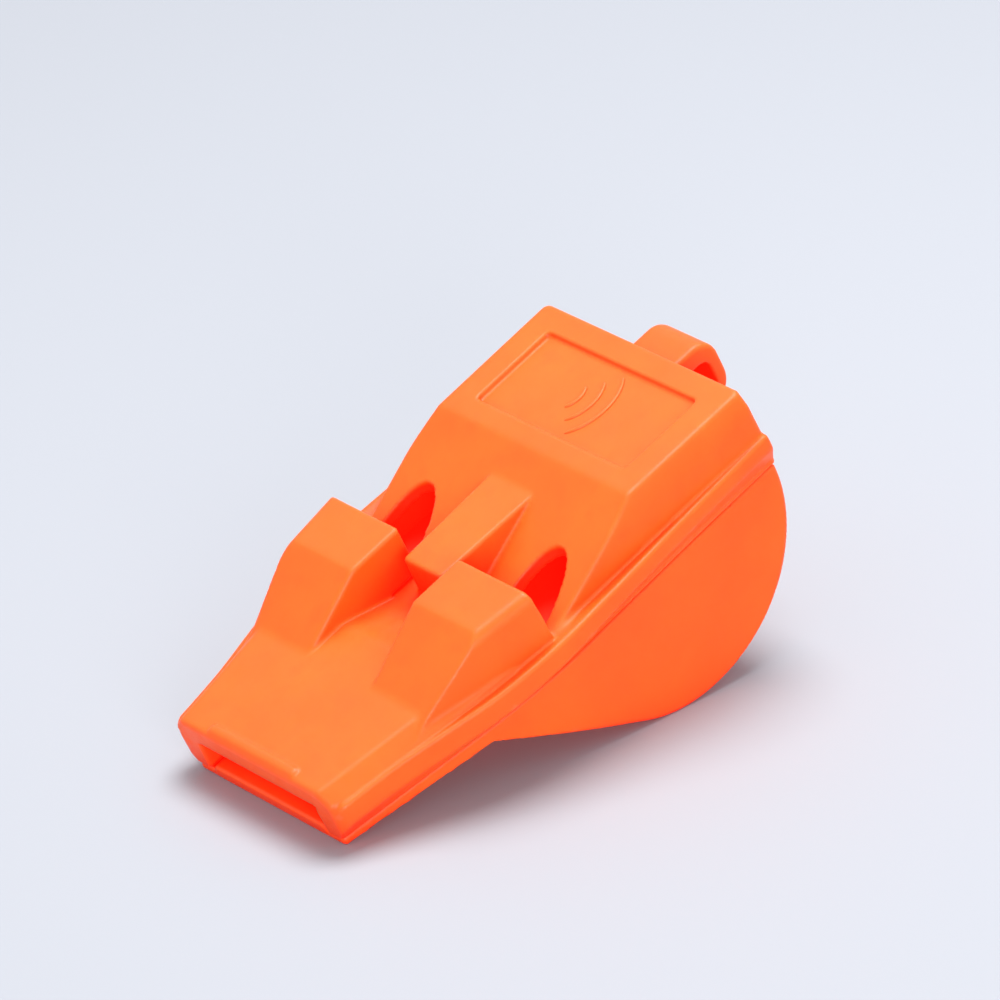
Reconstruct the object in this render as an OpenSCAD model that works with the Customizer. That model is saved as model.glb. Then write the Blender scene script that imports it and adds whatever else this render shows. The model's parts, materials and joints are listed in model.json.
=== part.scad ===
// Pealess three-chamber training whistle.
// Two welded shells hold an airway insert: two upper chambers sound through arched
// windows behind the hollow air ducts, and a drum-shaped lower chamber sounds through
// a window in the underside. There is no ball and nothing moves.
//
// The whistle is described in its own frame, X from the mouthpiece tip to the rear,
// Y across and Z up from the weld seam, and is then tipped onto its two resting lines:
// the lower edge of the tip and the bottom of the drum.

/* [Body] */
// Length of the body from tip to rear wall, without the lanyard loop
body_len = 49.5; // [47:0.1:52]
// Width over the flange at the mouthpiece tip
flange_tip_w = 22.6; // [21.8:0.2:24]
// Width over the flange at its widest, beside the rear of the air ducts
flange_wide_w = 30.4; // [29.6:0.2:32]
// Width over the flange at the rear
flange_rear_w = 27.6; // [27.4:0.2:28.6]
// Height of the flange above the seam
flange_z = 4.0; // [3.6:0.1:4.2]
// How far the flange stands out past the lower shell
flange_overhang = 1.5; // [1.2:0.1:1.6]
// Wall thickness of both shells
wall = 1.3; // [1.1:0.1:1.4]

/* [Mouthpiece] */
// Height of the mouthpiece roof above the seam
roof_z = 5.2; // [5.0:0.1:5.5]
// Width of the flat roof at the tip
roof_tip_w = 18.6; // [17.6:0.2:19.4]
// Width of the blowing slot
slot_w = 16.0; // [14:0.2:16.4]
// Height of the slot's roof above the seam
slot_top_z = 3.0; // [2.8:0.1:3.5]
// Height of the raised lip on the floor of the slot
slot_lip_z = 0.45; // [0.2:0.05:0.5]
// Drop of the underside below the seam at the tip
tip_drop = 0.8; // [0.6:0.05:0.9]
// Length of the mouthpiece floor, up to the lower window
floor_len = 15.1; // [14.7:0.1:15.4]
// Drop of the underside below the seam at the end of the floor
floor_drop = 1.5; // [1.4:0.05:1.7]
// Height of the tooth grip along the front of the roof
grip_h = 0.25; // [0.15:0.05:0.4]

/* [Air ducts] */
// Where the sloping duct fronts rise from the roof
duct_foot_x = 11.0; // [10.6:0.1:11.4]
// Where the duct fronts reach the duct tops
duct_top_x = 18.1; // [17.6:0.1:18.6]
// Rear face of the ducts
duct_rear_x = 23.4; // [23:0.1:24]
// Height of the duct tops above the seam
duct_z = 8.8; // [8.5:0.1:9.2]
// Width of the gap between the two ducts
duct_gap = 8.0; // [7.6:0.1:8.2]
// Height of the slit in each duct's rear face
slit_h = 1.0; // [0.8:0.1:1.2]

/* [Upper chambers] */
// Height of the deck above the seam
deck_z = 8.6; // [8.4:0.1:8.8]
// Front edge of the deck
deck_front_x = 35.9; // [35:0.1:37]
// Width of the deck body
deck_w = 26.6; // [26.2:0.1:26.8]
// Height of the foot of the window slope above the seam
slope_foot_z = 3.25; // [3.1:0.05:3.4]
// Width of each arched window
window_w = 5.6; // [4.8:0.1:5.8]
// Length of each arched window, along the body
window_len = 6.65; // [5.6:0.05:7]
// Distance of each window's centre line from the middle
window_y = 8.8; // [8.6:0.1:8.9]
// Width of the rib between the windows
rib_w = 5.8; // [5:0.1:6]
// Height of the rib above the seam
rib_z = 7.3; // [7.1:0.1:7.5]
// Length of the recessed panel in the deck
panel_len = 8.8; // [8:0.1:9.4]
// Width of the recessed panel in the deck
panel_w = 19.6; // [18:0.2:20.4]
// Depth of the recessed panel
panel_depth = 0.45; // [0.3:0.05:0.6]
// How far the rear wall leans forward at the deck
rear_lean = 0.1; // [0:0.1:0.4]
// How much shorter the right-hand chamber is than the left-hand one
chamber_step = 3.0; // [2:0.5:4]

/* [Lower chamber] */
// Outer radius of the drum
drum_r = 13.5; // [13.2:0.1:13.5]
// Distance of the drum's axis from the tip
drum_x = 35.9; // [35.5:0.1:35.9]
// Height of the drum's axis above the seam
drum_z = 0.0; // [-0.2:0.1:0.3]
// Width of the window in the underside
lower_window_w = 13.0; // [12:0.2:13.4]
// Length of the window in the underside, along the body
lower_window_len = 5.7; // [5:0.1:6.2]

/* [Lanyard loop] */
// How far the loop stands out behind the body
loop_out = 4.6; // [4.4:0.05:5]
// Height of the loop's flat top above the seam
loop_top_z = 7.15; // [6.8:0.05:7.4]
// Height of the loop's underside above the seam
loop_low_z = 0.6; // [0.4:0.05:0.8]
// Width of the loop across the body
loop_w = 6.2; // [5:0.2:7]
// Radius of the lanyard hole
loop_hole_r = 1.6; // [1.4:0.05:1.7]
// Height of the hole above the seam
loop_hole_z = 3.65; // [3.4:0.05:3.8]

/* [Insert] */
// Thickness of the insert's plate, which parts the chambers
plate_t = 1.2; // [1:0.1:1.4]
// Gap left round the insert for assembly
fit_gap = 0.05; // [0.03:0.01:0.1]

/* [Hidden] */
$fn = 96;

// Overlap that makes a cut or a joint clean
eps = 0.01;
// A length beyond every outline, for cutting solids
far = 60;
// How far a cutting solid runs past a surface that it opens
over = 1;
// Thickness of the slices that the tapered parts are hulled from
slice = 0.02;

// Plan of the body
tip_corner = 0.4;
flange_corner = 0.5;
seam_corner = 0.5;
shoulder_x = 16.5;
shoulder_step = 1.2;
wide_flare = 1.3;
rear_flare = 0.6;
wide_overhang = wide_flare * flange_overhang;
rear_overhang = rear_flare * flange_overhang;
seam_tip_w = flange_tip_w - 2 * flange_overhang;
seam_wide_w = flange_wide_w - 2 * wide_overhang;
seam_rear_w = flange_rear_w - 2 * rear_overhang;
flange_bevel_z = 1.8;
ledge_tip = 0.7;
ledge_wide = 1.25;
groove_tip_w = flange_tip_w - 2 * ledge_tip;
groove_wide_w = flange_wide_w - 2 * ledge_wide;
roof_end_x = 14.0;
roof_spread = 4.4;
roof_end_w = roof_tip_w + roof_spread;
grip_x = 0.3;
grip_len = 1.0;
grip_share = 0.62;
grip_w = grip_share * roof_tip_w;

// Mouth cavity
slot_deep_x = 8.0;
cavity_z = 3.9;
cavity_end_x = 16.0;
cavity_end_w = 21.6;
cavity_waist_w = 19.6;
lip_len = 3.0;
lip_ramp = 2.0;

// Air ducts
gap_front_x = 15.0;
gap_floor_z = 2.9;
rib_front_x = 21.9;
duct_front_y = 12.2;
duct_side_y = groove_wide_w / 2;
duct_bevel_y = 1.6;
duct_bevel_z = 2.0;
duct_bevel_bow = 3;
duct_inner_y = duct_gap / 2 + wall;
duct_roof_z = duct_z - wall;
duct_bend = 0.5;
slit_drop = 0.8;
slit_top_z = duct_roof_z - slit_drop;
slit_z = slit_top_z - slit_h;

// Upper chambers
slope_rise = (deck_z - slope_foot_z) / (deck_front_x - duct_rear_x);
slope_wall_z = wall * sqrt(1 + slope_rise * slope_rise);
deck_extra = 0.2;
deck_wall = wall + deck_extra;
chamber_roof_z = deck_z - deck_wall;
chamber_bend_x = duct_rear_x + (chamber_roof_z + slope_wall_z - slope_foot_z) / slope_rise;
chamber_rear_x = body_len - wall;
deck_bevel_y = 0.6;
deck_bevel_z = 1.6;
partition_w = 1.4;
panel_x = 38.05;
rib_end_x = duct_rear_x + (rib_z - slope_foot_z) / slope_rise + wall;
foot_rise = 0.4;
foot_z = flange_z + foot_rise;
foot_len = 6.0;
window_steps = 24;

// Lower chamber: the underside runs from the floor's end to a tangent of the drum
tangent_x = drum_x - floor_len;
tangent_z = drum_z + floor_drop;
tangent_d = sqrt(tangent_x * tangent_x + tangent_z * tangent_z);
underside_angle = asin(drum_r / tangent_d) - atan2(tangent_z, tangent_x);
underside_fall = tan(underside_angle);
touch_x = drum_x - drum_r * sin(underside_angle);
touch_z = drum_z - drum_r * cos(underside_angle);
drum_inner_r = drum_r - wall;
inner_touch_x = drum_x - drum_inner_r * sin(underside_angle);
inner_touch_z = drum_z - drum_inner_r * cos(underside_angle);
ramp_x = floor_len + wall * sin(underside_angle);
ramp_z = -floor_drop + wall * cos(underside_angle);
floor_top_z = -0.75;
floor_top_x = floor_len - (floor_drop + floor_top_z) / underside_fall;
lower_lip_x = floor_len + lower_window_len;
lower_lip_z = -floor_drop - lower_window_len * underside_fall;
lower_lip_bevel = 2.2;
lower_lip_rise = 0.3;

// Insert
plate_front_x = 12.1;
tongue_x = 13.0;
tongue_top_x = 21.0;
tongue_top_fall = 0.1;
tongue_side_gap = 1.0;
windway_h = 1.0;
nose_x = floor_len + windway_h / sin(underside_angle) - floor_drop / underside_fall;
nose_end_x = 17.6;
nose_end_z = -(nose_end_x - nose_x) * underside_fall;
cheek_w = 20.6;
cheek_end_x = 15.8;
cheek_z = -0.6;

// Lanyard loop: its outline has a smaller round above and a larger one below
loop_hole_gap = 0.05;
loop_hole_x = body_len + loop_hole_gap + loop_hole_r;
loop_top_r = 2.1;
loop_low_r = 2.6;
loop_top_x = body_len + loop_out - loop_top_r;
loop_low_x = body_len + loop_out - loop_low_r;
loop_bend_z = loop_low_z + loop_low_r;

// Resting place on a table
pitch = asin(drum_r / norm([drum_x, drum_z + tip_drop])) - atan2(drum_z + tip_drop, drum_x);
rest_low_x = -roof_z * sin(pitch);
rest_high_x = loop_low_x * cos(pitch) - loop_bend_z * sin(pitch) + loop_low_r;
rest_base_z = -tip_drop * cos(pitch);

upper_shell();
airway_insert();
lower_shell();

// Tips the whistle onto its resting lines and centres its box over the origin
module at_rest() {
    translate([-(rest_low_x + rest_high_x) / 2, 0, -rest_base_z])
        rotate([0, -pitch, 0])
            children();
}

// Extrudes an X-Z outline across the body, between two Y places
module across(y_from, y_to) {
    translate([0, y_to, 0])
        rotate([90, 0, 0])
            linear_extrude(y_to - y_from)
                children();
}

// Extrudes a Y-Z outline along the body, between two X places
module along(x_from, x_to) {
    translate([x_from, 0, 0])
        rotate([90, 0, 90])
            linear_extrude(x_to - x_from)
                children();
}

// Makes a copy on each side of the body
module both_sides() {
    children();
    mirror([0, 1, 0]) children();
}

// Plan of one side of the body: widening from the tip past a shoulder to the rear of
// the ducts, then narrowing to the rear wall
module half_plan(tip_w, wide_w, rear_w, corner) {
    polygon([
        [0, 0], [0, tip_w / 2 - tip_corner], [tip_corner, tip_w / 2],
        [shoulder_x, (wide_w - shoulder_step) / 2], [duct_rear_x, wide_w / 2],
        [body_len - corner, rear_w / 2], [body_len, rear_w / 2 - corner], [body_len, 0]
    ]);
}

module body_plan(tip_w, wide_w, rear_w, corner) {
    both_sides() half_plan(tip_w, wide_w, rear_w, corner);
}

module flange_plan() {
    body_plan(flange_tip_w, flange_wide_w, flange_rear_w, flange_corner);
}

module seam_plan() {
    body_plan(seam_tip_w, seam_wide_w, seam_rear_w, seam_corner);
}

// Plan of the space inside both shells, from the front of the insert to the rear wall
module inner_plan(gap) {
    front_w = seam_tip_w + (seam_wide_w - seam_tip_w) * plate_front_x / duct_rear_x;
    inset = wall + gap;
    polygon([
        [plate_front_x + gap, -front_w / 2 + inset], [duct_rear_x, -seam_wide_w / 2 + inset],
        [body_len - inset, -seam_rear_w / 2 + inset + seam_corner],
        [body_len - inset, seam_rear_w / 2 - inset - seam_corner],
        [duct_rear_x, seam_wide_w / 2 - inset], [plate_front_x + gap, front_w / 2 - inset]
    ]);
}

// Plan of the mouth cavity, flaring from the slot to the ducts
module cavity_plan() {
    polygon([
        [-eps, -slot_w / 2], [lip_len, -slot_w / 2], [plate_front_x, -cavity_waist_w / 2],
        [cavity_end_x, -cavity_end_w / 2], [cavity_end_x, cavity_end_w / 2],
        [plate_front_x, cavity_waist_w / 2], [lip_len, slot_w / 2], [-eps, slot_w / 2]
    ]);
}

// Flange that runs round both sides and carries the weld seam
module flange() {
    hull() {
        linear_extrude(slice) seam_plan();
        translate([0, 0, flange_bevel_z])
            linear_extrude(slice) flange_plan();
    }
    translate([0, 0, flange_bevel_z])
        linear_extrude(flange_z - flange_bevel_z) flange_plan();
}

// Plan of the mouthpiece at one height
module mouth_plan(tip_w, end_w) {
    polygon([
        [0, -tip_w / 2 + tip_corner], [tip_corner, -tip_w / 2], [roof_end_x, -end_w / 2],
        [roof_end_x, end_w / 2], [tip_corner, tip_w / 2], [0, tip_w / 2 - tip_corner]
    ]);
}

// Roof of the mouthpiece with its sloping sides
module mouth_roof() {
    shoulder_w = groove_wide_w - shoulder_step;
    groove_end_w = groove_tip_w + (shoulder_w - groove_tip_w) * roof_end_x / shoulder_x;
    hull() {
        translate([0, 0, flange_z - slice])
            linear_extrude(slice) mouth_plan(groove_tip_w, groove_end_w);
        translate([0, 0, roof_z - slice])
            linear_extrude(slice) mouth_plan(roof_tip_w, roof_end_w);
    }
}

// Low ridge along the front of the roof, for the teeth
module tooth_grip() {
    translate([grip_x, -grip_w / 2, roof_z - eps])
        cube([grip_len, grip_w, grip_h + eps]);
}

// Hollow block that lifts the air to the slit above each window, solid before coring
module duct_block() {
    intersection() {
        across(-far, far)
            polygon([
                [duct_foot_x, 0], [duct_foot_x, roof_z], [duct_top_x, duct_z],
                [duct_rear_x, duct_z], [duct_rear_x, 0]
            ]);
        along(0, far)
            polygon([
                [duct_gap / 2, 0], [duct_gap / 2, duct_z], [duct_side_y - duct_bevel_y, duct_z],
                [duct_side_y - duct_bevel_y / duct_bevel_bow, duct_z - duct_bevel_z / duct_bevel_bow],
                [duct_side_y, duct_z - duct_bevel_z], [duct_side_y, 0]
            ]);
        linear_extrude(far)
            polygon([
                [duct_foot_x, 0], [duct_foot_x, duct_front_y], [duct_rear_x, duct_side_y],
                [duct_rear_x, 0]
            ]);
    }
}

// Material under and behind the gap between the ducts
module gap_floor() {
    across(-duct_gap / 2 - eps, duct_gap / 2 + eps)
        polygon([
            [duct_foot_x, 0], [duct_foot_x, roof_z], [gap_front_x, roof_z],
            [rib_front_x, gap_floor_z], [duct_rear_x, gap_floor_z], [duct_rear_x, 0]
        ]);
}

// Window slope and deck, solid before coring
module deck_body() {
    intersection() {
        across(-far, far)
            polygon([
                [rib_front_x, 0], [rib_front_x, gap_floor_z - eps], [duct_rear_x, slope_foot_z],
                [deck_front_x, deck_z], [body_len - rear_lean, deck_z], [body_len, 0]
            ]);
        along(0, far)
            polygon([
                [-deck_w / 2, 0], [-deck_w / 2, deck_z - deck_bevel_z],
                [-deck_w / 2 + deck_bevel_y, deck_z], [deck_w / 2 - deck_bevel_y, deck_z],
                [deck_w / 2, deck_z - deck_bevel_z], [deck_w / 2, 0]
            ]);
    }
}

// Foot of the window slope, where it spreads over the flange behind the ducts
module slope_foot() {
    intersection() {
        across(-far, far)
            polygon([
                [duct_rear_x - eps, 0], [duct_rear_x - eps, slope_foot_z],
                [duct_rear_x + (foot_z - slope_foot_z) / slope_rise, foot_z],
                [duct_rear_x + foot_len, flange_z - eps], [duct_rear_x + foot_len, 0]
            ]);
        linear_extrude(far)
            body_plan(groove_tip_w, groove_wide_w, deck_w, seam_corner);
    }
}

// Rib on the middle line, over the wall between the upper chambers
module centre_rib() {
    translate([rib_front_x, -rib_w / 2, 0])
        cube([rib_end_x - rib_front_x, rib_w, rib_z]);
}

// Loop for a lanyard or split ring, with its hole across the body
module lanyard_loop() {
    front_x = chamber_rear_x + eps;
    across(-loop_w / 2, loop_w / 2) {
        translate([loop_top_x, loop_top_z - loop_top_r]) circle(loop_top_r);
        translate([loop_low_x, loop_bend_z]) circle(loop_low_r);
        translate([front_x, loop_bend_z]) square([loop_top_x - front_x, loop_top_z - loop_bend_z]);
        translate([front_x, loop_low_z]) square([loop_low_x - front_x, loop_low_r + eps]);
        translate([loop_low_x, loop_bend_z])
            square([loop_low_r, loop_top_z - loop_top_r - loop_bend_z]);
    }
}

// Arched outline of one upper window, half an ellipse against the duct's rear face
module window_arch() {
    polygon([
        for (i = [0:window_steps])
            let (a = -90 + 180 * i / window_steps)
            [duct_rear_x + window_len * cos(a), window_y + window_w / 2 * sin(a)]
    ]);
}

// Space inside one duct, from the mouth cavity up to the slit
module duct_space() {
    front_x = plate_front_x + duct_bend;
    rear_x = duct_rear_x - wall;
    intersection() {
        across(duct_inner_y, far)
            polygon([
                [front_x, 0], [front_x, cavity_z], [duct_top_x + duct_bend, duct_roof_z],
                [rear_x, duct_roof_z], [rear_x, 0]
            ]);
        linear_extrude(far) inner_plan(0);
    }
    translate([rear_x - eps, window_y - window_w / 2, slit_z])
        cube([wall + 2 * eps, window_w, slit_h]);
}

// Space of one upper chamber; the rear wall moves forward by the given step
module chamber_space(step) {
    intersection() {
        across(partition_w / 2, far)
            polygon([
                [duct_rear_x, 0], [duct_rear_x, slope_foot_z - slope_wall_z],
                [chamber_bend_x, chamber_roof_z], [chamber_rear_x - step, chamber_roof_z],
                [chamber_rear_x - step, 0]
            ]);
        linear_extrude(far) inner_plan(0);
    }
}

module upper_shell() {
    color("darkorange") at_rest() difference() {
        union() {
            flange();
            mouth_roof();
            tooth_grip();
            both_sides() duct_block();
            gap_floor();
            deck_body();
            slope_foot();
            centre_rib();
            lanyard_loop();
        }
        // Slot and mouth cavity
        intersection() {
            across(-far, far)
                polygon([
                    [-over, -over], [-over, slot_top_z], [slot_deep_x, slot_top_z],
                    [plate_front_x, cavity_z], [cavity_end_x, cavity_z], [cavity_end_x, -over]
                ]);
            translate([0, 0, -over]) linear_extrude(far) cavity_plan();
        }
        both_sides() duct_space();
        chamber_space(0);
        mirror([0, 1, 0]) chamber_space(chamber_step);
        // Seat of the insert's plate
        translate([0, 0, -eps]) linear_extrude(plate_t + eps) inner_plan(0);
        // Windows in the slope
        both_sides() translate([0, 0, plate_t]) linear_extrude(far) window_arch();
        // Recessed panel
        translate([panel_x, -panel_w / 2, deck_z - panel_depth])
            cube([panel_len, panel_w, panel_depth + eps]);
        // Lanyard hole
        across(-loop_w / 2 - over, loop_w / 2 + over)
            translate([loop_hole_x, loop_hole_z]) circle(loop_hole_r);
    }
}

// One tongue of the insert: the ramp under the air in a duct
module tongue() {
    rear_x = duct_rear_x - wall - fit_gap;
    across(duct_inner_y + fit_gap, seam_wide_w / 2 - wall - tongue_side_gap)
        polygon([
            [tongue_x, plate_t - eps], [tongue_top_x, slit_z - tongue_top_fall],
            [rear_x, slit_z], [rear_x, plate_t - eps]
        ]);
}

module airway_insert() {
    color("red") at_rest() {
        linear_extrude(plate_t) inner_plan(fit_gap);
        both_sides() tongue();
        // Nose that turns the lower air stream down to the window in the underside
        across(-lower_window_w / 2 + fit_gap, lower_window_w / 2 - fit_gap)
            polygon([[nose_x, eps], [nose_end_x, nose_end_z], [nose_end_x, eps]]);
        // Cheeks that close the stream beside the nose
        translate([nose_x, -cheek_w / 2, cheek_z])
            cube([cheek_end_x - nose_x, cheek_w, -cheek_z + eps]);
    }
}

// Side outline of the lower shell, below the seam
module lower_outline() {
    intersection() {
        union() {
            translate([drum_x, drum_z]) circle(drum_r);
            polygon([
                [0, over], [0, -tip_drop], [floor_len, -floor_drop], [touch_x, touch_z],
                [drum_x, drum_z], [drum_x, over]
            ]);
        }
        translate([0, -far]) square([body_len, far]);
    }
}

// Side outline of the space inside the drum
module lower_space_outline() {
    translate([drum_x, drum_z]) circle(drum_inner_r);
    polygon([
        [floor_top_x, over], [floor_top_x, floor_top_z], [ramp_x, ramp_z],
        [inner_touch_x, inner_touch_z], [drum_x, drum_z], [drum_x, over]
    ]);
}

module lower_shell() {
    color("darkorange") at_rest() {
        difference() {
            intersection() {
                across(-far, far) lower_outline();
                translate([0, 0, -far]) linear_extrude(far) seam_plan();
            }
            // Drum chamber
            intersection() {
                across(-far, far) lower_space_outline();
                translate([0, 0, -far]) linear_extrude(far + over) inner_plan(0);
            }
            // Sloping top of the mouthpiece floor
            intersection() {
                across(-far, far)
                    polygon([
                        [lip_len + lip_ramp, eps], [floor_top_x + eps, floor_top_z],
                        [floor_top_x + eps, eps]
                    ]);
                translate([0, 0, -far]) linear_extrude(far + over) cavity_plan();
            }
            // Window in the underside, with its sharp rear lip
            across(-lower_window_w / 2, lower_window_w / 2)
                polygon([
                    [floor_top_x, floor_top_z], [floor_len, -floor_drop],
                    [floor_len - over, lower_lip_z], [lower_lip_x - over, lower_lip_z - 2 * over],
                    [lower_lip_x, lower_lip_z],
                    [lower_lip_x + lower_lip_bevel, lower_lip_z + lower_lip_rise],
                    [lower_lip_x + lower_lip_bevel, over], [floor_top_x, over]
                ]);
        }
        // Raised lip of the slot, which keys the shells together
        across(-slot_w / 2 + fit_gap, slot_w / 2 - fit_gap)
            polygon([
                [0, -tip_drop / 2], [0, slot_lip_z], [lip_len, slot_lip_z],
                [lip_len + lip_ramp, -eps], [lip_len + lip_ramp, -tip_drop / 2]
            ]);
    }
}
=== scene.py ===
import json
import math

import bpy
import numpy as np
from mathutils import Matrix, Vector


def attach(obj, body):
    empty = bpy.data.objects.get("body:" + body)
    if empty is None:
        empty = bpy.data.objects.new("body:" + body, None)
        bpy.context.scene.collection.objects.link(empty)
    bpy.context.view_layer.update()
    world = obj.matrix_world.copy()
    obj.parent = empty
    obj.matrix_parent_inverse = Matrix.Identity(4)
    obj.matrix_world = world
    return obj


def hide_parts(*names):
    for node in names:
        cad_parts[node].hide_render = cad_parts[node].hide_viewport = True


# Looks of the pealess training whistle. The shells are sampled as distance fields in the whistle's own
# frame, in millimetres (X from the mouthpiece tip to the rear, Y across, Z up from the weld seam). They are
# meshed there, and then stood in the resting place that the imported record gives.

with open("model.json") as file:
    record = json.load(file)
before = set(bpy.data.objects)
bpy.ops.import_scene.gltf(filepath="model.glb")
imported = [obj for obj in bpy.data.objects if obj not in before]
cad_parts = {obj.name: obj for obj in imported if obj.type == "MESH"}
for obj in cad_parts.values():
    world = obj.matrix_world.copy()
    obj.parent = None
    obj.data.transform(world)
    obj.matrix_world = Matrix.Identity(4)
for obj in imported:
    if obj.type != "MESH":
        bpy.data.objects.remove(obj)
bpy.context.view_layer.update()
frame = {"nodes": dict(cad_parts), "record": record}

MM = 0.001
MOUNTS = {m["name"]: m for m in frame["record"]["mounts"]}

# ---------------------------------------------------------------- sizes, in millimetres
BODY_LEN, WALL = 49.5, 1.3
# Half widths along the body, as (x, half width)
FLANGE = [
    (0, 11.25), (6.5, 12.25), (11, 13.35), (16.5, 14.65),
    (23.4, 15.15), (29, 14.9), (37, 14.4), (49.5, 13.8),
]
SEAM = [
    (0, 9.8), (6.5, 10.85), (11.6, 11.7), (16.5, 12.5),
    (23.4, 13.15), (28, 13.1), (36.5, 12.85), (49.5, 12.7),
]
GROOVE = [(0, 10.6), (7, 11.75), (11, 12.5), (17.5, 13.35), (23.4, 13.9), (30, 13.6), (49.5, 13.3)]
ROOF = [(0, 9.3), (11, 11.0), (16, 11.7)]
DUCT = [(11, 11.9), (16, 12.9), (23.4, 13.9)]
DECK = [(23.4, 13.15), (49.5, 13.38)]
RIB = [(21.9, 2.55), (33, 2.95)]
# How far the flange's lower bevel rises along the body
BEVEL_LIFT = [(0, 0), (20, 0.05), (30, 0.4), (49.5, 0.6)]
# Flange: its top, the top of its bevel, and the fall of its ledge over the outer two millimetres
FLANGE_Z, BEVEL_Z, LEDGE_FALL, LEDGE_WIDTH = 4.0, 1.8, 0.3, 2
# Mouthpiece: roof, slot and the cavity behind the slot
ROOF_Z, SLOT_Z, SLOT_X, CAVITY_Z = 5.2, 3.0, 8, 3.9
SLOT_HALF, SLOT_LEAN, CAVITY_LEN = 8.0, 0.05, 3.5
GRIP_X, GRIP_LEN, GRIP_HALF, GRIP_Z = 0.35, 0.95, 5.8, 0.25
# Air ducts, and the low floor between them
DUCT_FOOT_X, DUCT_TOP_X, DUCT_REAR_X, DUCT_Z, DUCT_INNER = 11.0, 18.1, 23.5, 8.85, 4.0
DUCT_DRAFT, DUCT_LEAN, DUCT_BURY = 0.04, 0.35, 1.5
GAP_X, GAP_Z = 15.0, 2.9
# Rib between the windows
RIB_X, RIB_Z, RIB_DRAFT = 21.9, 7.3, 0.06
# Slope and deck
SLOPE_Z, DECK_X, DECK_Z, REAR_LEAN = 3.25, 35.9, 8.6, 0.1
DECK_BEVEL_Y, DECK_BEVEL_Z = 0.6, 1.6
SPREAD, SPREAD_Y, SPREAD_END_X, SPREAD_FADE = 0.7, 11.8, 28, 3
WINDOW_Y, WINDOW_HALF, WINDOW_LEN = 8.8, 2.8, 6.65
PANEL_X, PANEL_LEN, PANEL_HALF, PANEL_DEPTH = 38.05, 8.8, 9.8, 0.45
# Lanyard loop and its hole
LOOP_END_X, LOOP_TOP_Z, LOOP_LOW_Z, LOOP_HALF, LOOP_ROOT = 54.05, 7.08, 0.62, 3.08, 1
HOLE_X, HOLE_Z, HOLE_HALF = 51.15, 3.65, 1.6
# Inside of the upper shell
PLATE_X, PLATE_Z, CHAMBER_STEP, CHAMBER_ROOF, CHAMBER_MIDDLE = 12.1, 1.2, 3.0, 0.2, 0.7
SLIT_LOW_Z, SLIT_HIGH_Z, SLIT_REACH, RISE_LEAD = 5.7, 6.7, 2, 0.5
CAVITY = [(0, SLOT_HALF), (3, SLOT_HALF), (PLATE_X, 9.8), (16, 10.8)]
# Lower shell
TIP_DROP, FLOOR_LEN, FLOOR_DROP, FLOOR_OVERRUN = 0.8, 15.1, 1.5, 1.4
DRUM_X, DRUM_Z, DRUM_R = 35.9, 0.0, 13.5
DRUM_EDGE = [(14, 0.12), (26, 0.3), (49.5, 0.3)]
LOWER_WINDOW_HALF, LOWER_WINDOW_LEN, LOWER_WINDOW_LEAN, LOWER_WINDOW_Z = 6.5, 5.7, 0.35, 6.0
LIP_Z, LIP_LEN, LIP_RAMP, LIP_GAP = 0.45, 3.0, 2.0, 0.4
FLOOR_TOP_X, FLOOR_TOP_Z, FLOOR_TOP_RUN = 14.08, -0.75, 0.5
# Radii of the edges, from the sharpest to the roundest
PANEL_FLOOR_R, SHARP_R, SEAM_R, FLOOR_R, FOLD_R, CREASE_R, EDGE_R = 0.04, 0.05, 0.06, 0.08, 0.1, 0.12, 0.15
DUCT_R, FOOT_R, BEAD_R, SOFT_R, BLUNT_R, PANEL_CORNER_R = 0.18, 0.2, 0.22, 0.25, 0.3, 0.35
OPEN_R, RIM_R, CHAMBER_R, CORNER_R, OUTER_R, TIP_R = 0.4, 0.45, 0.6, 0.7, 1.1, 1.2
LOOP_TOP_R, LOOP_LOW_R = 2.1, 2.5
# Mark in the panel: three nested arcs
MARK_X, MARK_Y, MARK_RADII = 42.45, 3.0, (1.9, 3.6, 5.3)
MARK_SPAN, MARK_WIDTH, MARK_HEIGHT, MARK_BURY = math.radians(44), 0.36, 0.17, 0.02
MARK_STEPS, MARK_SIDES, MARK_TAPER, MARK_THINNEST = 36, 9, 12, 0.05
# Spacing of the samples. The settling's rounds, probe length, longest move and lowest squared slope
STEP = 0.25
SETTLE_ROUNDS, SETTLE_PROBE, SETTLE_REACH, SETTLE_STEEP = 3, 0.04, 0.15, 0.25
# Boxes that hold each shell, with room to spare
UPPER_BOX = (-1, -16, -1), (55.25, 16, 10.25)
LOWER_BOX = (-1, -14.25, -14.75), (51, 14.25, 1.25)
# The painted red shade and glow under the skin start this far behind the tip, and are full at twice as far
SKIN_FADE = 4


# ---------------------------------------------------------------- distance fields
def overlap(a, b, r):
    """Space in both solids, with the edge between them rounded by r."""
    return np.minimum(np.maximum(a, b), -r) + np.hypot(np.maximum(a + r, 0), np.maximum(b + r, 0))


def union(a, b, r):
    """Space in either solid, with the corner between them filled by r."""
    return -overlap(-a, -b, r)


def cut(solid, hollow, r):
    """The solid without the hollow, with the rim rounded by r."""
    return overlap(solid, -hollow, r)


def incline(u, v, du, dv):
    """Distance to the right of the line that leaves the origin along (du, dv)."""
    return (u * dv - v * du) / np.hypot(du, dv)


def face(u, v, start, end):
    """Distance to the right of the line from start to end."""
    return incline(u - start[0], v - start[1], end[0] - start[0], end[1] - start[1])


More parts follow.
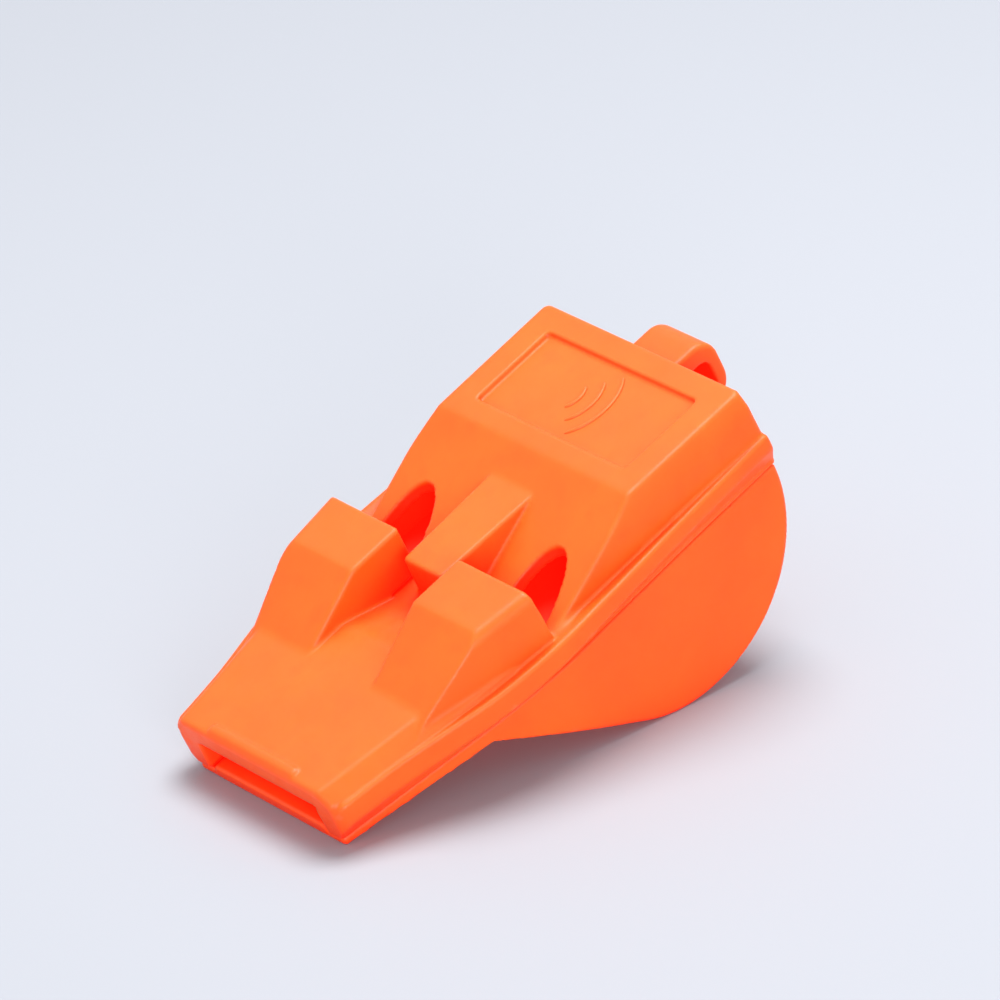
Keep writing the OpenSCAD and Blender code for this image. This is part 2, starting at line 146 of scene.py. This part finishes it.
def curve(x, points):
    """Smooth curve through a few (x, value) points."""
    px, py = np.array(points, np.float32).T
    slope = np.gradient(py, px)
    i = np.clip(np.searchsorted(px, x) - 1, 0, len(px) - 2)
    h = px[i + 1] - px[i]
    t = np.clip((x - px[i]) / h, 0, 1)
    start = (1 + 2 * t) * (1 - t) ** 2 * py[i] + t * (1 - t) ** 2 * h * slope[i]
    end = t * t * (3 - 2 * t) * py[i + 1] + t * t * (t - 1) * h * slope[i + 1]
    return start + end


def ellipse(u, v, a, b):
    """Distance outside an ellipse, near its outline."""
    k = np.hypot(u / a, v / b) + 1e-6
    return (k - 1) * k / np.hypot(u / a / a, v / b / b).clip(1e-6)


def mouth_cavity(x, side, z):
    """Slot and mouth cavity, which both shells share."""
    roof = overlap(z - SLOT_Z, x - SLOT_X, FOLD_R)
    rise = overlap(face(x, z, (PLATE_X, CAVITY_Z), (SLOT_X, SLOT_Z)), SLOT_X - x, FOLD_R)
    roof = overlap(union(roof, rise, FOLD_R), x - PLATE_X - CAVITY_LEN, FOOT_R)
    return overlap(roof, side - curve(x, CAVITY) + SLOT_LEAN * z, SOFT_R)


def upper_outside(x, y, z):
    """Outer skin of the upper shell, with the panel's recess."""
    side = np.abs(y)
    flange_y, seam_y, groove_y, roof_y = (curve(x, c) for c in (FLANGE, SEAM, GROOVE, ROOF))
    ledge = z - FLANGE_Z + LEDGE_FALL * np.clip(flange_y - side, 0, LEDGE_WIDTH)
    flange = overlap(side - flange_y, ledge, RIM_R)
    flange = overlap(overlap(flange, -x, TIP_R), x - BODY_LEN, OPEN_R)

    floor = overlap(z - ROOF_Z, face(x, z, (RIB_X, GAP_Z), (GAP_X, ROOF_Z)), FOLD_R)
    floor = union(floor, z - GAP_Z, FOLD_R)
    mouth = incline(side - groove_y, z - FLANGE_Z, roof_y - groove_y, ROOF_Z - FLANGE_Z)
    mouth = overlap(overlap(mouth, floor, EDGE_R), side - groove_y, FOLD_R)
    mouth = overlap(overlap(mouth, -x, OPEN_R), x - DUCT_REAR_X, FOLD_R)
    grip = overlap(np.abs(x - GRIP_X - GRIP_LEN / 2) - GRIP_LEN / 2, side - GRIP_HALF, BLUNT_R)
    mouth = union(mouth, overlap(grip, z - ROOF_Z - GRIP_Z, BEAD_R), EDGE_R)
    body = union(flange, mouth, BEAD_R)

    duct = overlap(face(x, z, (DUCT_TOP_X, DUCT_Z), (DUCT_FOOT_X, ROOF_Z)), z - DUCT_Z, CREASE_R)
    duct = overlap(duct, x - DUCT_REAR_X, DUCT_R)
    duct = overlap(duct, DUCT_INNER - side + DUCT_DRAFT * (DUCT_Z - z), OPEN_R)
    flank = incline(side - curve(x, DUCT), z - FLANGE_Z, -DUCT_LEAN, DUCT_Z - FLANGE_Z)
    flank = overlap(flank, z - DUCT_Z, OUTER_R)
    duct = np.maximum(overlap(duct, flank, DUCT_R), ROOF_Z - DUCT_BURY - z)
    body = union(body, duct, FOOT_R)

    outline = overlap(face(x, z, (DECK_X, DECK_Z), (DUCT_REAR_X, SLOPE_Z)), z - DECK_Z, CREASE_R)
    flank = side - curve(x, DECK)
    flank = overlap(flank, incline(flank, z - DECK_Z + DECK_BEVEL_Z, -DECK_BEVEL_Y, DECK_BEVEL_Z), BLUNT_R)
    flank = overlap(flank, face(x, z, (BODY_LEN, 0), (BODY_LEN - REAR_LEAN, DECK_Z)), CORNER_R)
    deck = overlap(overlap(outline, flank, BLUNT_R), RIB_X - x, FOLD_R)
    # The slope's foot spreads over the flange behind the ducts
    spread = SPREAD * np.clip(side - SPREAD_Y, 0, 1) * np.clip((SPREAD_END_X - x) / SPREAD_FADE, 0, 1)
    body = union(body, deck, FOOT_R + spread)

    rib = overlap(z - RIB_Z, RIB_X - x, BLUNT_R)
    rib = overlap(overlap(rib, x - DECK_X, FOLD_R), side - curve(x, RIB) - RIB_DRAFT * (RIB_Z - z), SOFT_R)
    body = union(body, rib, CREASE_R)
    bevel = incline(side - seam_y, z - curve(x, BEVEL_LIFT), flange_y - seam_y, BEVEL_Z)
    body = overlap(body, np.minimum(side - seam_y, bevel), EDGE_R)

    loop = overlap(z - LOOP_TOP_Z, x - LOOP_END_X, LOOP_TOP_R)
    loop = overlap(overlap(loop, LOOP_LOW_Z - z, LOOP_LOW_R), BODY_LEN - LOOP_ROOT - x, FOLD_R)
    body = union(body, overlap(loop, side - LOOP_HALF, RIM_R), SOFT_R)
    body = overlap(body, -z, FOLD_R)

    panel = overlap(np.abs(x - PANEL_X - PANEL_LEN / 2) - PANEL_LEN / 2, side - PANEL_HALF, PANEL_CORNER_R)
    panel = overlap(panel, DECK_Z - PANEL_DEPTH - z, PANEL_FLOOR_R)
    return cut(body, panel, SHARP_R)


def upper_shell(x, y, z):
    """Upper shell: the outer skin less the air ways, chambers, windows and lanyard hole."""
    side = np.abs(y)
    inner_y = curve(x, SEAM) - WALL
    solid = upper_outside(x, y, z)
    solid = cut(solid, mouth_cavity(x, side, z), FOOT_R)

    # Way up through each duct, and the slit in its rear face
    rise = face(x, z, (DUCT_TOP_X + RISE_LEAD, DUCT_Z - WALL), (PLATE_X + RISE_LEAD, CAVITY_Z))
    rise = overlap(rise, z - DUCT_Z + WALL, BLUNT_R)
    rise = overlap(rise, x - DUCT_REAR_X + WALL, FOOT_R)
    rise = overlap(rise, np.maximum(DUCT_INNER + WALL - side, side - inner_y), FOOT_R)
    slit_z, slit_half = (SLIT_LOW_Z + SLIT_HIGH_Z) / 2, (SLIT_HIGH_Z - SLIT_LOW_Z) / 2
    slit = overlap(np.abs(side - WINDOW_Y) - WINDOW_HALF, np.abs(z - slit_z) - slit_half, FOLD_R)
    slit = np.maximum(slit, np.abs(x - DUCT_REAR_X) - SLIT_REACH)
    solid = cut(solid, np.minimum(rise, slit), CREASE_R)

    # Upper chambers, of two lengths
    fall = (DECK_Z - SLOPE_Z) / (DECK_X - DUCT_REAR_X)
    low = SLOPE_Z - WALL * math.hypot(1, fall)
    roof_z = DECK_Z - WALL - CHAMBER_ROOF
    bend_x = DUCT_REAR_X + (roof_z - low) / fall
    chamber = overlap(face(x, z, (bend_x, roof_z), (DUCT_REAR_X, low)), z - roof_z, BLUNT_R)
    rear_x = BODY_LEN - WALL - np.where(y < 0, CHAMBER_STEP, 0)
    chamber = overlap(overlap(chamber, x - rear_x, BLUNT_R), DUCT_REAR_X - x, FOOT_R)
    chamber = overlap(chamber, np.maximum(CHAMBER_MIDDLE - side, side - inner_y), BLUNT_R)
    solid = cut(solid, chamber, FOLD_R)

    # Seat of the insert's plate
    seat = overlap(z - PLATE_Z, side - inner_y, FOLD_R)
    seat = overlap(seat, np.maximum(PLATE_X - x, x - BODY_LEN + WALL), FOLD_R)
    solid = cut(solid, seat, FOLD_R)

    # Arched windows in the slope
    arch = ellipse(x - DUCT_REAR_X, side - WINDOW_Y, WINDOW_LEN, WINDOW_HALF)
    arch = overlap(arch, DUCT_REAR_X - x, SHARP_R)
    solid = cut(solid, np.maximum(arch, PLATE_Z - z), SHARP_R)

    # Lanyard hole, a rounded square
    hole = overlap(np.abs(x - HOLE_X) - HOLE_HALF, np.abs(z - HOLE_Z) - HOLE_HALF, CORNER_R)
    return cut(solid, np.maximum(hole, side - LOOP_HALF - LOOP_ROOT), CREASE_R)


def drum_outline(x, z, inset):
    """Side outline of the drum and of the ramp that meets it at a tangent, drawn in by the inset."""
    reach, rise = DRUM_X - FLOOR_LEN, DRUM_Z + FLOOR_DROP
    angle = math.asin(DRUM_R / math.hypot(reach, rise)) - math.atan2(rise, reach)
    along, down = math.cos(angle), -math.sin(angle)
    drum = np.hypot(x - DRUM_X, z - DRUM_Z) - DRUM_R + inset
    ramp = incline(x - FLOOR_LEN, z + FLOOR_DROP, along, down) + inset
    return np.minimum(drum, np.maximum(ramp, (x - DRUM_X) * along + (z - DRUM_Z) * down))


def lower_outside(x, y, z):
    """Outer skin of the lower shell."""
    side = np.abs(y)
    floor = np.maximum(face(x, z, (0, -TIP_DROP), (FLOOR_LEN, -FLOOR_DROP)), x - FLOOR_LEN - FLOOR_OVERRUN)
    outline = union(drum_outline(x, z, 0), floor, FLOOR_R)
    outline = overlap(overlap(outline, -x, EDGE_R), x - BODY_LEN, BLUNT_R)
    solid = overlap(outline, side - curve(x, SEAM), curve(x, DRUM_EDGE))
    return overlap(solid, z, SEAM_R)


def lower_shell(x, y, z):
    """Lower shell: the outer skin less the drum chamber and the underside window, with the slot's lip."""
    side = np.abs(y)
    solid = lower_outside(x, y, z)

    # Drum chamber
    space = overlap(drum_outline(x, z, WALL), side - curve(x, SEAM) + WALL, CHAMBER_R)
    solid = cut(solid, np.maximum(space, FLOOR_TOP_X - x), FOLD_R)

    # Sloping top of the mouthpiece floor
    top = face(x, z, (LIP_LEN + LIP_RAMP, 0), (FLOOR_TOP_X, FLOOR_TOP_Z))
    top = np.maximum(np.maximum(top, side - curve(x, CAVITY)), x - FLOOR_TOP_X - FLOOR_TOP_RUN)
    solid = cut(solid, top, SHARP_R)

    # Window in the underside, with its sharp rear lip
    lip_x = FLOOR_LEN + LOWER_WINDOW_LEN
    window = np.maximum(side - LOWER_WINDOW_HALF, FLOOR_TOP_X - x)
    window = overlap(window, x - lip_x - LOWER_WINDOW_LEAN * (z + LOWER_WINDOW_Z), SHARP_R)
    floor_end = face(x, z, (FLOOR_LEN, -FLOOR_DROP), (FLOOR_TOP_X, FLOOR_TOP_Z))
    solid = cut(solid, np.maximum(window, -floor_end), FOLD_R)

    # Raised lip of the slot
    lip = overlap(z - LIP_Z, face(x, z, (LIP_LEN + LIP_RAMP, 0), (LIP_LEN, LIP_Z)), SHARP_R)
    lip = np.maximum(overlap(lip, -x, FOLD_R), np.maximum(side - SLOT_HALF + LIP_GAP, -TIP_DROP / 2 - z))
    return union(solid, lip, SHARP_R)


# ---------------------------------------------------------------- meshes
def surface_net(field, low):
    """Quads over the zero surface of a sampled field, with one vertex in each cell that it crosses."""
    cells = np.array(field.shape) - 1
    total = np.zeros((3, cells.prod()))
    count = np.zeros(cells.prod())
    quads = []
    inside = field < 0
    for axis in range(3):
        near = [slice(None)] * 3
        ahead = [slice(None)] * 3
        near[axis], ahead[axis] = slice(0, -1), slice(1, None)
        near, ahead = tuple(near), tuple(ahead)
        crossing = inside[near] != inside[ahead]
        place = np.argwhere(crossing)
        a, b = field[near][crossing], field[ahead][crossing]
        point = place.astype(float)
        point[:, axis] += a / (a - b)
        u, v = (axis + 1) % 3, (axis + 2) % 3
        ring = []
        for du, dv in ((-1, -1), (0, -1), (0, 0), (-1, 0)):
            cell = place.copy()
            cell[:, u] += du
            cell[:, v] += dv
            number = np.ravel_multi_index(cell.T, cells)
            ring.append(number)
            count += np.bincount(number, minlength=count.size)
            for k in range(3):
                total[k] += np.bincount(number, point[:, k], minlength=count.size)
        ring = np.stack(ring, 1)
        ring[~inside[near][crossing]] = ring[~inside[near][crossing]][:, ::-1]
        quads.append(ring)
    used = np.flatnonzero(count)
    index = np.zeros(count.size, np.int64)
    index[used] = np.arange(used.size)
    vertices = (total[:, used] / count[used]).T * STEP + np.array(low)
    return vertices, index[np.concatenate(quads)]


def settle(vertices, quads, solid):
    """Spaces the vertices evenly while it holds them on the zero surface of the solid."""
    start, end = quads.ravel(), np.roll(quads, -1, axis=1).ravel()
    degree = np.bincount(start)[:, None]
    for _ in range(SETTLE_ROUNDS):
        near = np.stack([np.bincount(start, column[end]) for column in vertices.T], 1) / degree
        vertices = (vertices + near) / 2
        gap = solid(*vertices.T)
        probes = np.eye(3) * SETTLE_PROBE
        slope = np.stack([(solid(*(vertices + probe).T) - gap) / SETTLE_PROBE for probe in probes], 1)
        move = gap / (slope ** 2).sum(1).clip(SETTLE_STEEP)
        vertices = vertices - slope * move.clip(-SETTLE_REACH, SETTLE_REACH)[:, None]
    return vertices


def row_matrix():
    """From millimetres in the whistle's own frame to metres in the row's frame, from two of the mounts."""
    lean = MOUNTS["label_panel"]["axis"]
    turn = Matrix.Rotation(-math.atan2(-lean[0], lean[2]), 4, "Y")
    hole = Vector(MOUNTS["lanyard_hole"]["pos_m"])
    place = hole - turn @ Vector((HOLE_X, 0, HOLE_Z)) * MM
    return Matrix.Translation(place) @ turn @ Matrix.Scale(MM, 4)


TO_ROW = row_matrix()


def shell_piece(name, solid, skin, box, material):
    """Meshes a distance field in place of the CAD node of the same name."""
    x, y, z = (np.arange(a, b + STEP, STEP, dtype=np.float32) for a, b in zip(*box))
    field = solid(x[:, None, None], y[None, :, None], z[None, None, :])
    vertices, quads = surface_net(field, box[0])
    vertices = settle(vertices, quads, solid)
    mesh = bpy.data.meshes.new(name)
    mesh.from_pydata(vertices.tolist(), [], quads.tolist())
    # How far each point lies under the outer skin, for the material's painted red shade and painted glow
    fade = np.clip(vertices[:, 0] / SKIN_FADE - 1, 0, 1)
    depth = mesh.attributes.new("under_skin", "FLOAT", "POINT")
    depth.data.foreach_set("value", (-skin(*vertices.T) * fade).astype(np.float32))
    mesh.transform(TO_ROW)
    mesh.shade_smooth()
    mesh.materials.append(material)
    piece = bpy.data.objects.new(name + "_moulding", mesh)
    bpy.context.scene.collection.objects.link(piece)
    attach(piece, "root")
    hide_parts(name)


def wave_mark(material):
    """Three nested sound waves, raised as thin beads on the floor of the panel."""
    vertices, faces = [], []
    for radius in MARK_RADII:
        start = len(vertices)
        for i in range(MARK_STEPS + 1):
            t = i / MARK_STEPS
            turn = MARK_SPAN * (2 * t - 1)
            taper = max(MARK_THINNEST, math.sqrt(1 - abs(2 * t - 1) ** MARK_TAPER))
            for k in range(MARK_SIDES):
                u = math.pi * k / (MARK_SIDES - 1)
                r = radius + MARK_WIDTH / 2 * taper * math.cos(u)
                height = MARK_HEIGHT * taper * math.sin(u)
                x, y = MARK_X + r * math.sin(turn), MARK_Y - r * math.cos(turn)
                vertices.append(TO_ROW @ Vector((x, y, DECK_Z - PANEL_DEPTH - MARK_BURY + height)))
        for i in range(MARK_STEPS):
            for k in range(MARK_SIDES):
                a, b = start + i * MARK_SIDES + k, start + i * MARK_SIDES + (k + 1) % MARK_SIDES
                faces.append((a, a + MARK_SIDES, b + MARK_SIDES, b))
        faces.append(tuple(range(start, start + MARK_SIDES)))
        faces.append(tuple(reversed(range(len(vertices) - MARK_SIDES, len(vertices)))))
    mesh = bpy.data.meshes.new("panel_mark")
    mesh.from_pydata(vertices, [], faces)
    mesh.shade_smooth()
    mesh.materials.append(material)
    piece = bpy.data.objects.new("panel_mark", mesh)
    bpy.context.scene.collection.objects.link(piece)
    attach(piece, "root")


# ---------------------------------------------------------------- materials
# Noise scales per metre, with their detail
DRIFT_NOISE, FLOW_NOISE, GLOSS_NOISE, GRAIN_NOISE = (90, 3), (420, 5), (700, 4), (2600, 3)
NOISE_LOW, NOISE_HIGH, FLOW_LOW, FLOW_HIGH, FLOW_SHARE = 0.3, 0.7, 0.5, 0.75, 0.7
# Painted highlight on edges, by how sharply the surface turns
EDGE_LOW, EDGE_HIGH, EDGE_HIGHLIGHT_SHARE, EDGE_HIGHLIGHT_LIFT = 0.52, 0.62, 0.2, 0.08
# Hollows: reach in metres, and the occlusion and depth under the skin over which painted red shade and a
# painted glow come in
HOLLOW_REACH, HOLLOW_SAMPLES = 0.007, 6
PAINTED_SHADE_LOW, PAINTED_SHADE_HIGH, PAINTED_GLOW_HIGH, SKIN_LOW, SKIN_HIGH = 0.2, 0.72, 0.45, 0.08, 0.4
PAINTED_GLOW_COLOUR = (1, 0.02, 0.004, 1)
ROUGH_LOW, ROUGH_HIGH, SPECULAR = 0.38, 0.52, 0.25
GRAIN_STRENGTH, GRAIN_HEIGHT = 0.25, 0.00004
SCATTER_WEIGHT, SCATTER_RADIUS, SCATTER_SCALE = 0.15, (1.0, 0.25, 0.08), 0.0012


def plastic(name, colour, shade, shade_red, painted_glow):
    """Satin moulded plastic: slow colour drift, a painted highlight on sharp edges, painted red shade and a
    painted glow in the hollows, fine skin texture.
    """
    material = bpy.data.materials.new(name)
    material.use_nodes = True
    nodes, links = material.node_tree.nodes, material.node_tree.links
    shader = nodes["Principled BSDF"]
    place = nodes.new("ShaderNodeTexCoord").outputs["Object"]

    def noise(kind):
        node = nodes.new("ShaderNodeTexNoise")
        node.inputs["Scale"].default_value, node.inputs["Detail"].default_value = kind
        links.new(place, node.inputs["Vector"])
        return node.outputs["Fac"]

    def ramp(value, low, high, start, end):
        node = nodes.new("ShaderNodeMapRange")
        for key, number in zip(("From Min", "From Max", "To Min", "To Max"), (low, high, start, end)):
            node.inputs[key].default_value = number
        links.new(value, node.inputs["Value"])
        return node.outputs["Result"]

    def blend(factor, first, second):
        node = nodes.new("ShaderNodeMix")
        node.data_type = "RGBA"
        links.new(factor, node.inputs["Factor"])
        # Sockets 6 and 7 are the two colours, and output 2 is their mix
        for key, item in ((6, first), (7, second)):
            if isinstance(item, tuple):
                node.inputs[key].default_value = (*item, 1)
            else:
                links.new(item, node.inputs[key])
        return node.outputs[2]

    # Painted shade: the colour turns deep red in the hollows, by ambient occlusion, and under the skin
    hollow = nodes.new("ShaderNodeAmbientOcclusion")
    hollow.samples = HOLLOW_SAMPLES
    hollow.inputs["Distance"].default_value = HOLLOW_REACH
    inside = nodes.new("ShaderNodeAttribute")
    inside.attribute_name = "under_skin"
    edge = nodes.new("ShaderNodeNewGeometry").outputs["Pointiness"]

    base = blend(ramp(noise(DRIFT_NOISE), NOISE_LOW, NOISE_HIGH, 0, 1), colour, shade)
    base = blend(ramp(noise(FLOW_NOISE), FLOW_LOW, FLOW_HIGH, 0, FLOW_SHARE), base, shade)
    # Painted highlight: edges that turn sharply are paled
    edge_highlight = tuple(min(1, c + EDGE_HIGHLIGHT_LIFT) for c in colour)
    base = blend(ramp(edge, EDGE_LOW, EDGE_HIGH, 0, EDGE_HIGHLIGHT_SHARE), base, edge_highlight)
    # Painted red shade, by ambient occlusion and by depth under the skin
    base = blend(ramp(hollow.outputs["AO"], PAINTED_SHADE_LOW, PAINTED_SHADE_HIGH, 1, 0), base, shade_red)
    base = blend(ramp(inside.outputs["Fac"], SKIN_LOW, SKIN_HIGH, 0, 1), base, shade_red)
    links.new(base, shader.inputs["Base Color"])

    # Painted glow: emission in the hollows and under the skin, standing in for light that passes through
    # the walls
    painted_glow_level = nodes.new("ShaderNodeMath")
    painted_glow_level.operation = "MAXIMUM"
    links.new(ramp(hollow.outputs["AO"], 0, PAINTED_GLOW_HIGH, painted_glow, 0), painted_glow_level.inputs[0])
    links.new(ramp(inside.outputs["Fac"], SKIN_LOW, SKIN_HIGH, 0, painted_glow), painted_glow_level.inputs[1])
    shader.inputs["Emission Color"].default_value = PAINTED_GLOW_COLOUR
    links.new(painted_glow_level.outputs["Value"], shader.inputs["Emission Strength"])

    shader.inputs["Specular IOR Level"].default_value = SPECULAR
    rough = ramp(noise(GLOSS_NOISE), NOISE_LOW, NOISE_HIGH, ROUGH_LOW, ROUGH_HIGH)
    links.new(rough, shader.inputs["Roughness"])
    bump = nodes.new("ShaderNodeBump")
    bump.inputs["Strength"].default_value = GRAIN_STRENGTH
    bump.inputs["Distance"].default_value = GRAIN_HEIGHT
    links.new(noise(GRAIN_NOISE), bump.inputs["Height"])
    links.new(bump.outputs["Normal"], shader.inputs["Normal"])
    shader.inputs["Subsurface Weight"].default_value = SCATTER_WEIGHT
    shader.inputs["Subsurface Radius"].default_value = SCATTER_RADIUS
    shader.inputs["Subsurface Scale"].default_value = SCATTER_SCALE
    return material


# Each material: its own colour, a second tone for the random drift, the red of the painted shade, and the
# strength of the painted glow
SHELL = plastic("orange_plastic", (0.97, 0.104, 0.007), (0.93, 0.084, 0.006), (0.95, 0.02, 0.003), 0.3)
INSERT = plastic("insert_plastic", (0.95, 0.03, 0.004), (0.9, 0.025, 0.003), (0.95, 0.01, 0.002), 0.5)

# ---------------------------------------------------------------- pieces
shell_piece("upper_shell", upper_shell, upper_outside, UPPER_BOX, SHELL)
shell_piece("lower_shell", lower_shell, lower_outside, LOWER_BOX, SHELL)
wave_mark(SHELL)
insert = frame["nodes"]["airway_insert"]
insert.data.materials.clear()
insert.data.materials.append(INSERT)

# ---------------------------------------------------------------- floor, light and camera
FLOOR_HALF, FLOOR_COLOUR, FLOOR_ROUGH = 3.0, (0.3, 0.31, 0.34, 1), 0.7
floor_mesh = bpy.data.meshes.new("floor")
corners = [(x * FLOOR_HALF, y * FLOOR_HALF, 0) for x, y in ((-1, -1), (1, -1), (1, 1), (-1, 1))]
floor_mesh.from_pydata(corners, [], [(0, 1, 2, 3)])
floor = bpy.data.objects.new("floor", floor_mesh)
floor_mat = bpy.data.materials.new("floor")
floor_mat.use_nodes = True
floor_shader = floor_mat.node_tree.nodes["Principled BSDF"]
floor_shader.inputs["Base Color"].default_value = FLOOR_COLOUR
floor_shader.inputs["Roughness"].default_value = FLOOR_ROUGH
floor_mesh.materials.append(floor_mat)
bpy.context.scene.collection.objects.link(floor)


def add_light(name, kind, power, place, target, width=0):
    """Light at a place, turned to a target. A sun's width is its angle in degrees."""
    lamp = bpy.data.lights.new(name, kind)
    lamp.energy = power
    if kind == "SUN":
        lamp.angle = math.radians(width)
    else:
        lamp.shape = "DISK"
        lamp.size = width
    item = bpy.data.objects.new(name, lamp)
    item.location = place
    item.rotation_euler = (Vector(target) - Vector(place)).to_track_quat("-Z", "Y").to_euler()
    bpy.context.scene.collection.objects.link(item)


AIM = (0, 0, 0.01)
add_light("key", "AREA", 0.9, (0.07, 0.02, 0.3), AIM, 0.2)
add_light("fill", "AREA", 2.7, (-0.25, -0.5, 0.12), AIM, 0.3)
add_light("sun", "SUN", 2.2, (0.2, 0.15, 1), (0, 0, 0), 40)

SKY_COLOUR, SKY_STRENGTH = (0.93, 0.96, 1.0, 1), 0.9
world = bpy.data.worlds.new("studio")
world.use_nodes = True
world.node_tree.nodes["Background"].inputs["Color"].default_value = SKY_COLOUR
world.node_tree.nodes["Background"].inputs["Strength"].default_value = SKY_STRENGTH
bpy.context.scene.world = world
bpy.context.scene.view_settings.view_transform = "Standard"

# The camera looks at the whistle from the front left and above, a little rolled (lengths in metres)
AZIMUTH, ELEVATION, ROLL = math.radians(-36.052), math.radians(27.187), math.radians(-6.072)
TARGET = Vector((0.003292, 0.000662, 0.017813))
DISTANCE = 0.70577
LENS, SENSOR, CLIP_NEAR, CLIP_FAR = 303.4, 36, 0.05, 20
across = math.cos(ELEVATION)
back = Vector((math.sin(AZIMUTH) * across, -math.cos(AZIMUTH) * across, math.sin(ELEVATION)))
level = Vector((0, 0, 1)).cross(back).normalized()
upright = back.cross(level)
right = level * math.cos(ROLL) + upright * math.sin(ROLL)
up = back.cross(right)
camera = bpy.data.objects.new("camera", bpy.data.cameras.new("camera"))
camera.data.lens = LENS
camera.data.sensor_width = SENSOR
camera.data.clip_start, camera.data.clip_end = CLIP_NEAR, CLIP_FAR
pose = Matrix((right, up, back)).transposed().to_4x4()
camera.matrix_world = Matrix.Translation(TARGET + back * DISTANCE) @ pose
bpy.context.scene.collection.objects.link(camera)
bpy.context.scene.camera = camera
